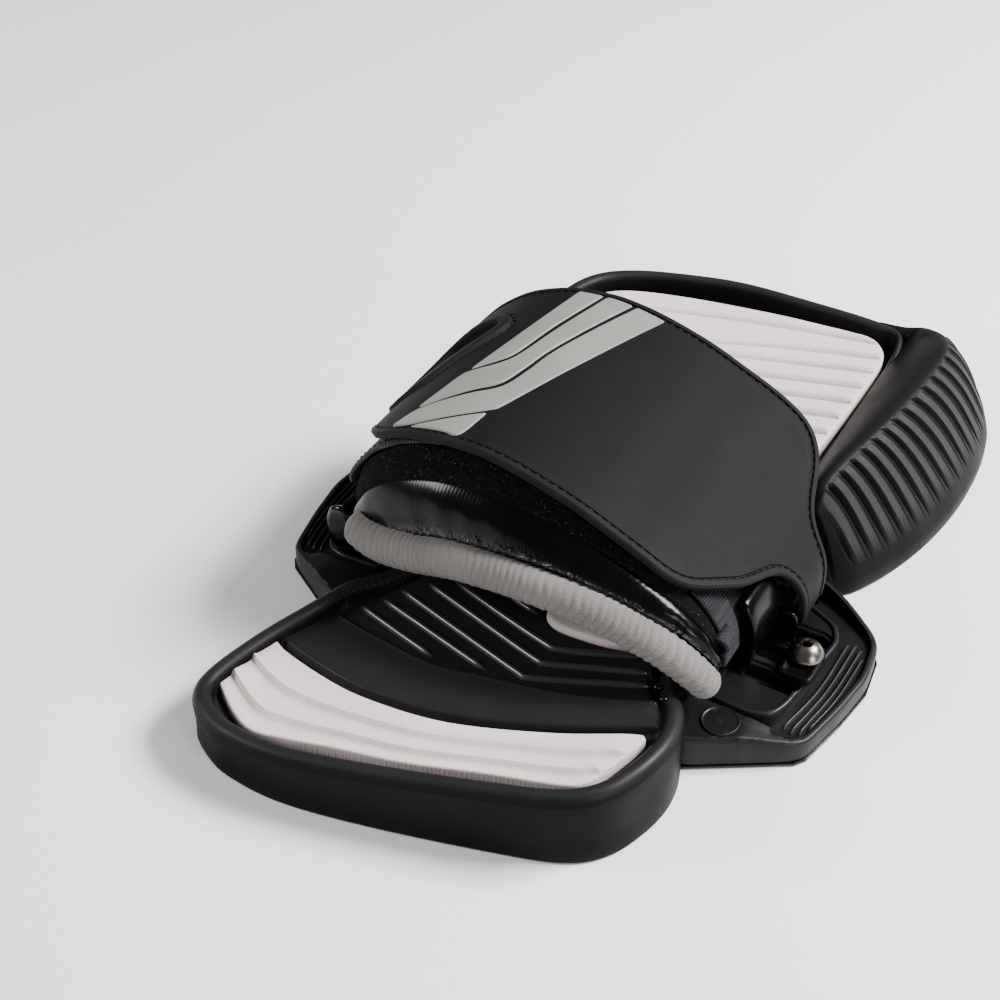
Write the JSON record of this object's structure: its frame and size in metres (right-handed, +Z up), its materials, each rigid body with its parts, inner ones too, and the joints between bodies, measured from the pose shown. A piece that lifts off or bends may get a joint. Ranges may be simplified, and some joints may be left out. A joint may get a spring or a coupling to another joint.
{
  "type": "kiteboard foot binding",
  "caption": "Kiteboard foot binding: moulded foot pad on a base plate, padded foot strap with a peel-open rubber cover, slotted brackets and mounting screws.",
  "frame": {"origin": "on the board face (underside plane of the gasket), midway between the two mounting screws", "axes": "+X to the side where the strap cover is hinged, +Y towards the toes, +Z up from the board"},
  "size_m": [0.214, 0.3128, 0.0856],
  "materials": {
    "nylon_black": "satin moulded nylon",
    "nylon_gloss": "semi-gloss moulded nylon",
    "gasket_black": "smooth thin gasket",
    "eva_black": "matte moulded foam",
    "eva_light": "matte pinkish-white moulded foam",
    "steel_dark": "dark stainless",
    "rubber_cover": "matte dark rubber with stitched raised edge",
    "rubber_grey": "light grey rubber inlay",
    "mesh_weave": "coarse grey-black woven mesh",
    "loop_velvet": "black brushed loop fabric",
    "vinyl_black": "glossy creased vinyl",
    "twill_grey": "light grey twill over soft cord",
    "liner_foam": "black fabric-covered foam",
    "webbing_black": "ribbed black webbing"
  },
  "bodies": {
    "pad_assembly": {"base_plate": "nylon_black", "base_gasket": "gasket_black", "footbed": "eva_black", "toe_bumper": "eva_black", "heel_insert": "eva_light", "toe_insert": "eva_light", "arch_insert": "eva_light", "badge": "nylon_gloss", "right_chassis": "nylon_gloss", "left_chassis": "nylon_gloss", "cover_hinge_bar": "steel_dark", "left_anchor_bar": "steel_dark", "strap_liner": "liner_foam", "lip_facing": "vinyl_black", "loop_band": "loop_velvet", "heel_piping": "twill_grey", "toe_piping": "twill_grey", "webbing_tab": "webbing_black", "under_strap": "mesh_weave", "heel_leg_strap": "loop_velvet", "toe_leg_strap": "loop_velvet"},
    "cover": {"strap_cover": "rubber_cover", "stripe_1": "rubber_grey", "stripe_2": "rubber_grey", "stripe_3": "rubber_grey", "stripe_4": "rubber_grey", "finger_frame": "rubber_cover", "hook_patch": "loop_velvet"},
    "right_washer_body": {"right_washer": "nylon_gloss"},
    "left_washer_body": {"left_washer": "nylon_gloss"},
    "right_screw_body": {"right_screw": "steel_dark"},
    "left_screw_body": {"left_screw": "steel_dark"}
  },
  "joints": [
    {"name": "cover_peel", "type": "hinge", "parent": "pad_assembly", "child": "cover", "pos_m": [0.0756, 0.0184, 0.0206], "axis": [0, 1, 0], "range_deg": [0, 75]},
    {"name": "right_washer_slide", "type": "slide", "parent": "pad_assembly", "child": "right_washer_body", "axis": [1, 0, 0], "range_m": [-0.006, 0.0004]},
    {"name": "left_washer_slide", "type": "slide", "parent": "pad_assembly", "child": "left_washer_body", "axis": [-1, 0, 0], "range_m": [-0.006, 0.0004]},
    {"name": "right_screw_turn", "type": "hinge", "parent": "right_washer_body", "child": "right_screw_body", "pos_m": [0.086, 0, 0.017], "axis": [0, 0, 1], "continuous": true},
    {"name": "left_screw_turn", "type": "hinge", "parent": "left_washer_body", "child": "left_screw_body", "pos_m": [-0.086, 0, 0.017], "axis": [0, 0, 1], "continuous": true}
  ]
}
